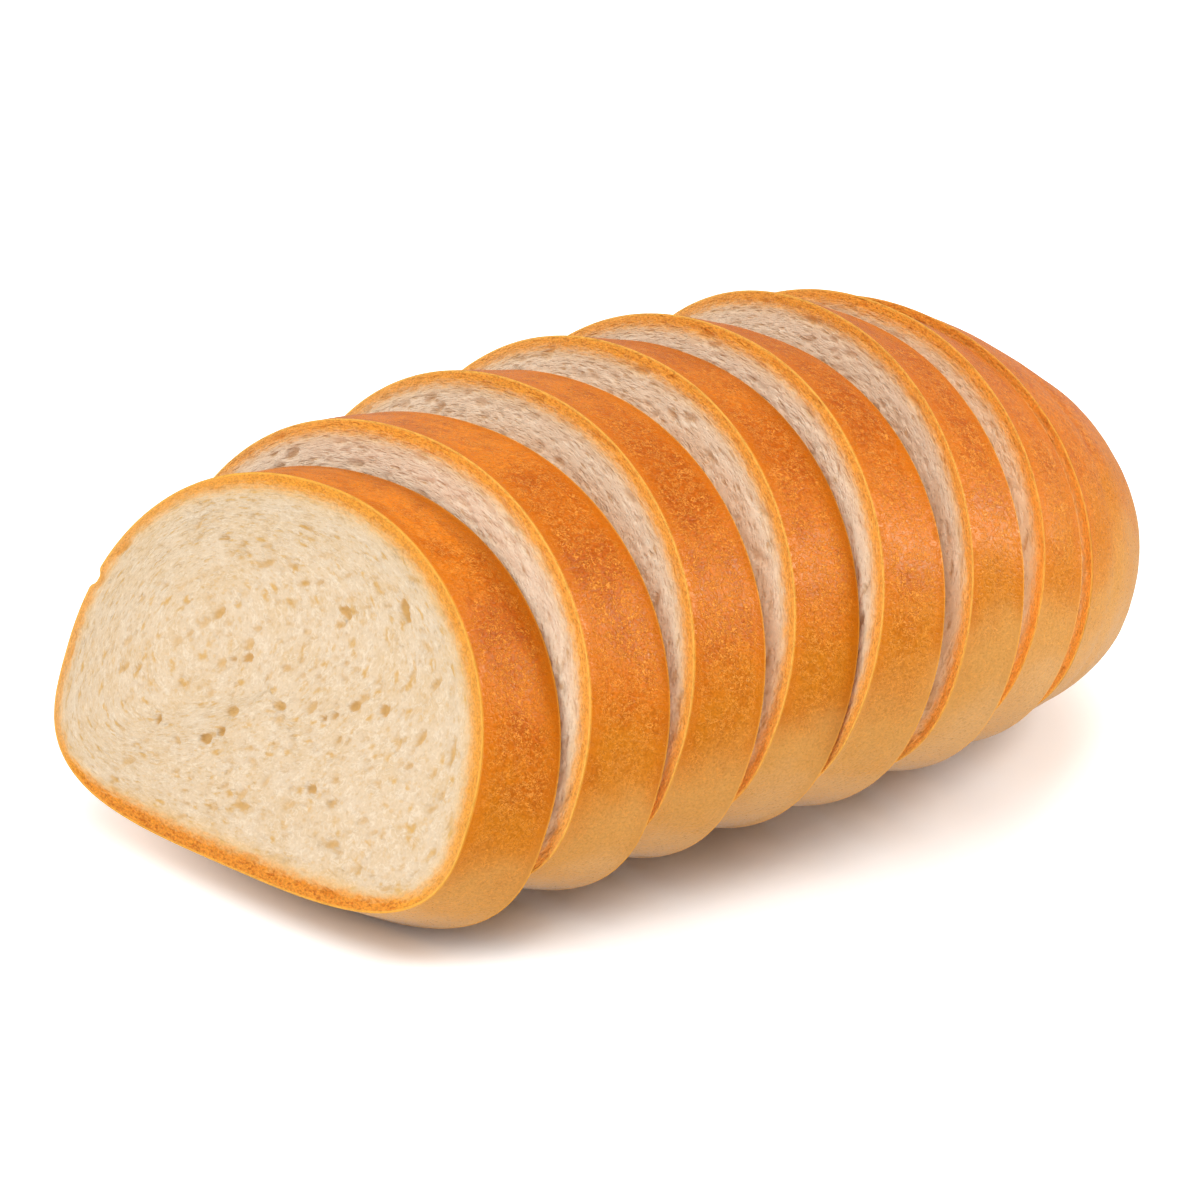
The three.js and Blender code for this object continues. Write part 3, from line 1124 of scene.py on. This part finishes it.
@dataclass(frozen=True)
class CrustFinish:
    """The baked skin: golden at the base, orange-brown above, with fine wrinkles, painted glints, a painted
    sheen at the crown and painted highlights at the cuts.
    """

    name: str = "crust"
    base: Colour = paint(191, 144, 88)
    golden: Colour = paint(188, 133, 66)
    amber: Colour = paint(181, 104, 12)
    brown: Colour = paint(186, 96, 10)
    deep: Colour = paint(174, 83, 3)
    # crown: the top's own brown, made paler than the deep brown below by a painted sheen
    crown: Colour = paint(207, 114, 20)
    dark: Colour = paint(152, 62, 2)
    band: Colour = paint(196, 103, 5)
    # painted highlight: a pale line along the crust's edge at each cut
    edge_line: Colour = paint(226, 156, 60)
    # painted glint: the lighter colour of the ridges where they catch the light
    glint: Colour = paint(240, 156, 60)
    levels: tuple[float, ...] = (0.02, 0.16, 0.38, 0.58, 0.76, 0.97)  # of the first six, from the base up
    roughness: float = 0.37
    specular_level: float = 0.12
    specular_tint: Colour = (1.0, 0.86, 0.5, 1.0)
    paler_behind: float = 0.0038  # how much paler for each millimetre behind the first cut
    streak_shares: tuple[float, float, float] = (0.25, 0.25, 1.0)  # the streaks run across the loaf

    broad: Mottle = Mottle(size=16.0, detail=3.0, contrast=1.6)
    patches: Mottle = Mottle(size=6.0, detail=3.0, contrast=2.4)
    specks: Mottle = Mottle(size=0.42, detail=1.0, contrast=2.6)
    breaks: Mottle = Mottle(size=1.0, detail=1.0, contrast=2.2)
    streaks: Mottle = Mottle(size=2.6, detail=3.0, contrast=2.4)
    ridges: Ridges = Ridges(size=0.85, thickness=0.085, curl=2.4)
    creases: Ridges = Ridges(size=3.2, thickness=0.035, curl=1.2)

    level_wander: float = 0.22  # how far the borders between the colours stray up and down
    upper: Ease = Ease(0.1, 0.65)
    streak_tint: Ease = Ease(0.5, 0.9, 0.0, 0.32)
    patch_tint: Ease = Ease(0.4, 0.9, 0.0, 0.42)
    clear_of_cut: Ease = Ease(0.3, 1.6, 0.3, 1.0)
    speck_contrast: Ease = Ease(0.1, 0.5, 0.2, 0.36)
    speck_middle: float = 0.55
    ridge_breaks: Ease = Ease(0.25, 0.6)
    ridge_patches: Ease = Ease(0.2, 0.7, 0.45, 0.75)
    ridge_levels: Ease = Ease(0.0, 0.6, 0.2, 1.0)
    band_reach: Ease = Ease(0.8, 3.0, 0.55, 0.0)
    line_reach: Ease = Ease(0.1, 0.45, 0.7, 0.0)
    roughness_spread: float = 0.2
    heights: tuple[float, ...] = (1.6, 0.5, -0.5)  # ridges, specks, creases
    bump_strength: float = 0.6
    bump_distance: float = 0.1

    def material(self, effects: Effects) -> bpy.types.Material:
        """Makes the material.

        Args:
            effects: The shared node groups.

        Returns:
            The material.
        """
        graph, shader = new_material(self.name)
        baked = graph.attribute("baked", "Vector")
        rise, edge = graph.attribute("rise"), graph.attribute("edge")
        mottles = (self.broad, self.patches, self.specks, self.breaks)
        broad, patches, specks, breaks = (effects.add(graph, baked, look) for look in mottles)
        ridges, creases = (effects.add(graph, baked, look) for look in (self.ridges, self.creases))
        streaks = effects.add(graph, graph.stretched(baked, self.streak_shares), self.streaks)

        behind = graph.node("ShaderNodeSeparateXYZ")
        graph.feed(behind.inputs[0], baked)
        level = graph.swing(broad, self.level_wander, rise)
        level = graph.maths("MULTIPLY_ADD", behind.outputs["Z"], -self.paler_behind, level)
        colours = (self.base, self.golden, self.amber, self.brown, self.deep, self.crown)
        colour = graph.ramp(level, self.levels, colours)
        upper = graph.ease(level, self.upper)
        for pattern, tint in ((streaks, self.streak_tint), (patches, self.patch_tint)):
            colour = graph.mix(graph.times(graph.ease(pattern, tint), upper), colour, self.dark)
        clear = graph.ease(edge, self.clear_of_cut)
        contrast = graph.ease(level, self.speck_contrast)
        speckled = graph.mix(1.0, colour, graph.swing(specks, contrast, 1.0, self.speck_middle), "MULTIPLY")
        colour = graph.mix(clear, colour, speckled)
        # Painted glints: the ridges, broken into short strokes, lightened in the colour; the same ridges are
        # the bump's main height.
        glinting_ridges = graph.times(ridges, graph.ease(breaks, self.ridge_breaks))
        glinting_ridges = graph.times(glinting_ridges, graph.ease(patches, self.ridge_patches))
        glinting_ridges = graph.times(glinting_ridges, graph.ease(level, self.ridge_levels))
        colour = graph.mix(graph.times(glinting_ridges, clear), colour, self.glint)
        colour = graph.mix(graph.times(graph.ease(edge, self.band_reach), upper), colour, self.band)
        # Painted highlight along the crust's edge at each cut.
        colour = graph.mix(graph.ease(edge, self.line_reach), colour, self.edge_line)

        heights = zip((glinting_ridges, specks, creases), self.heights)
        graph.feed(shader.inputs["Base Color"], colour)
        graph.feed(shader.inputs["Roughness"], graph.swing(specks, self.roughness_spread, self.roughness))
        graph.feed(shader.inputs["Specular IOR Level"], self.specular_level)
        graph.feed(shader.inputs["Specular Tint"], self.specular_tint)
        graph.feed(shader.inputs["Normal"], graph.bump(heights, self.bump_strength, self.bump_distance))
        return bpy.data.materials[self.name]


@dataclass(frozen=True)
class AreaLight:
    """A soft box that looks at the loaf."""

    name: str
    azimuth: float  # degrees, as for the camera
    elevation: float
    distance_m: float
    size_m: float
    power: float
    only_shines: bool = False  # seen in reflections only


def back_direction(azimuth: float, elevation: float) -> Vector:
    """Gives the direction from the loaf to a camera or a light.

    Args:
        azimuth: Degrees round from -Y towards +X.
        elevation: Degrees above the floor.

    Returns:
        A unit vector.
    """
    around, above = math.radians(azimuth), math.radians(elevation)
    flat = math.cos(above)
    return Vector((math.sin(around) * flat, -math.cos(around) * flat, math.sin(above)))


@dataclass
class Studio:
    """The plain white floor, the soft light and the camera."""

    floor_m: float = 6.0
    floor_colour: Colour = paint(250, 250, 250)
    floor_roughness: float = 0.9
    floor_glow: float = 0.45  # what keeps the floor white beyond the loaf's shadow
    shadow_half: tuple[float, float] = (66.0, 76.0)  # across and along the loaf
    shadow_edge: Ease = Ease(0.9, 1.2)
    world_strength: float = 0.55
    target: tuple[float, float, float] = (16.7, -22.4, 41.0)
    camera_azimuth: float = 54.7
    camera_elevation: float = 23.7
    camera_roll: float = -1.4
    camera_distance: float = 662.0
    lens: float = 127.3
    sensor: float = 36.0
    lights: tuple[AreaLight, ...] = (
        AreaLight("key_light", azimuth=145, elevation=36, distance_m=1.3, size_m=0.6, power=12.0),
        AreaLight(
            "shine_light",
            azimuth=145,
            elevation=24,
            distance_m=1.25,
            size_m=0.5,
            power=21.0,
            only_shines=True,
        ),
        AreaLight("top_light", azimuth=15, elevation=76, distance_m=1.4, size_m=1.2, power=12.0),
        AreaLight("front_light", azimuth=-25, elevation=30, distance_m=1.6, size_m=1.4, power=3.0),
    )

    def build(self) -> None:
        """Makes the floor, the world, the lights and the camera."""
        scene = bpy.context.scene
        scene.view_settings.view_transform = "Standard"
        self.lay_floor()
        world = bpy.data.worlds.new("white_studio")
        scene.world = world
        world.use_nodes = True
        sky = Graph(world.node_tree)
        background = world.node_tree.nodes["Background"]
        sky.feed(background.inputs["Color"], (1, 1, 1, 1))
        seen = sky.node("ShaderNodeLightPath").outputs["Is Camera Ray"]
        dimmed = 1 - self.world_strength
        sky.feed(background.inputs["Strength"], sky.maths("MULTIPLY_ADD", seen, dimmed, self.world_strength))
        target = Vector(self.target) * MM
        for light in self.lights:
            data = bpy.data.lights.new(light.name, "AREA")
            data.size = light.size_m
            data.energy = light.power
            lamp = bpy.data.objects.new(light.name, data)
            lamp.visible_diffuse = not light.only_shines
            back = back_direction(light.azimuth, light.elevation)
            lamp.location = target + back * light.distance_m
            lamp.rotation_euler = back.to_track_quat("Z", "Y").to_euler()
            scene.collection.objects.link(lamp)
        self.aim(target)

    def lay_floor(self) -> None:
        """Makes the floor, which takes the loaf's shadow and isn't mirrored in the crust."""
        half = self.floor_m / 2
        corners = [(-half, -half, 0), (half, -half, 0), (half, half, 0), (-half, half, 0)]
        mesh = bpy.data.meshes.new("floor")
        mesh.from_pydata(corners, [], [(0, 1, 2, 3)])
        floor = bpy.data.objects.new("floor", mesh)
        bpy.context.scene.collection.objects.link(floor)
        floor.visible_glossy = False
        graph, shader = new_material("white_floor")
        across, along = self.shadow_half
        place = graph.node("ShaderNodeNewGeometry").outputs["Position"]
        away = graph.node("ShaderNodeVectorMath", operation="LENGTH")
        graph.feed(away.inputs[0], graph.stretched(place, (1 / (across * MM), 1 / (along * MM), 0.0)))
        graph.feed(shader.inputs["Base Color"], self.floor_colour)
        graph.feed(shader.inputs["Roughness"], self.floor_roughness)
        # Painted light: the floor glows more the farther it lies from the loaf, which fades out the outer
        # part of the loaf's shadow.
        graph.feed(shader.inputs["Emission Color"], graph.ease(away.outputs["Value"], self.shadow_edge))
        graph.feed(shader.inputs["Emission Strength"], self.floor_glow)
        mesh.materials.append(bpy.data.materials["white_floor"])

    def aim(self, target: Vector) -> None:
        """Makes the camera that looks at the target.

        Args:
            target: What it looks at, in metres.
        """
        back = back_direction(self.camera_azimuth, self.camera_elevation)
        around, roll = math.radians(self.camera_azimuth), math.radians(self.camera_roll)
        level = Vector((math.cos(around), math.sin(around), 0))
        above = back.cross(level)
        right = level * math.cos(roll) + above * math.sin(roll)
        up = above * math.cos(roll) - level * math.sin(roll)
        data = bpy.data.cameras.new("camera")
        data.lens = self.lens
        data.sensor_width = self.sensor
        camera = bpy.data.objects.new("camera", data)
        turned = Matrix((right, up, back)).transposed().to_4x4()
        camera.matrix_world = Matrix.Translation(target + back * (self.camera_distance * MM)) @ turned
        bpy.context.scene.collection.objects.link(camera)
        bpy.context.scene.camera = camera


@dataclass
class Loaf:
    """All pieces of the loaf with their finishes."""

    front_round_points: int = 560
    front_face_step: float = 0.42
    front_fine_reach: float = 200.0  # past the middle of the face

    def build(self) -> None:
        """Builds every piece, dresses it and ties it to the frame."""
        effects = Effects()
        crust = CrustFinish().material(effects)
        first_crumb = CrumbFinish("first_crumb").material(effects)
        # A lighter copy of the same crumb, with a brighter rind, for the cut faces of the pieces behind the
        # first: these faces stand in the gaps, and the lighter colour is painted light that offsets the shade
        # there.
        inner = CrumbFinish(
            "inner_crumb_painted_light",
            light=paint(247, 223, 195),
            shade=paint(240, 212, 181),
            bubble=paint(212, 170, 124),
            rind=paint(250, 166, 56),
            rind_base=paint(232, 146, 46),
            rind_pit=paint(206, 104, 20),
            rim_line=paint(252, 194, 88),
        )
        inner_crumb_painted_light = inner.material(effects)
        station = 0.0
        for number in range(1, SLICES + 1):
            name = f"slice_{number}"
            if number == 1:
                piece = Slice(
                    name,
                    station,
                    seed=number,
                    round_points=self.front_round_points,
                    face_step=self.front_face_step,
                    fine_reach=self.front_fine_reach,
                    large_bubbles=LARGE_BUBBLES,
                    nicks=NICKS,
                )
            else:
                piece = Slice(name, station, seed=number)
            self.fit(piece, first_crumb if number == 1 else inner_crumb_painted_light, crust)
            station += piece.solid.depth
        self.fit(Heel("heel", station, seed=SLICES + 1), inner_crumb_painted_light, crust)

    def fit(self, piece: Piece, crumb: bpy.types.Material, crust: bpy.types.Material) -> None:
        """Builds one piece and puts it in its solid's place.

        Args:
            piece: The piece.
            crumb: Material of its cut faces.
            crust: Material of its baked skin.
        """
        made = piece.build(crumb, crust)
        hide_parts(piece.name)
        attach(made, "root")
        log.info("%s: %d faces", made.name, len(made.data.polygons))


def main() -> None:
    """Builds the studio and the loaf."""
    logging.basicConfig(level=logging.INFO, format="%(message)s")
    Studio().build()
    log.info("studio: floor, lights and camera")
    Loaf().build()


if __name__ == "__main__":
    main()
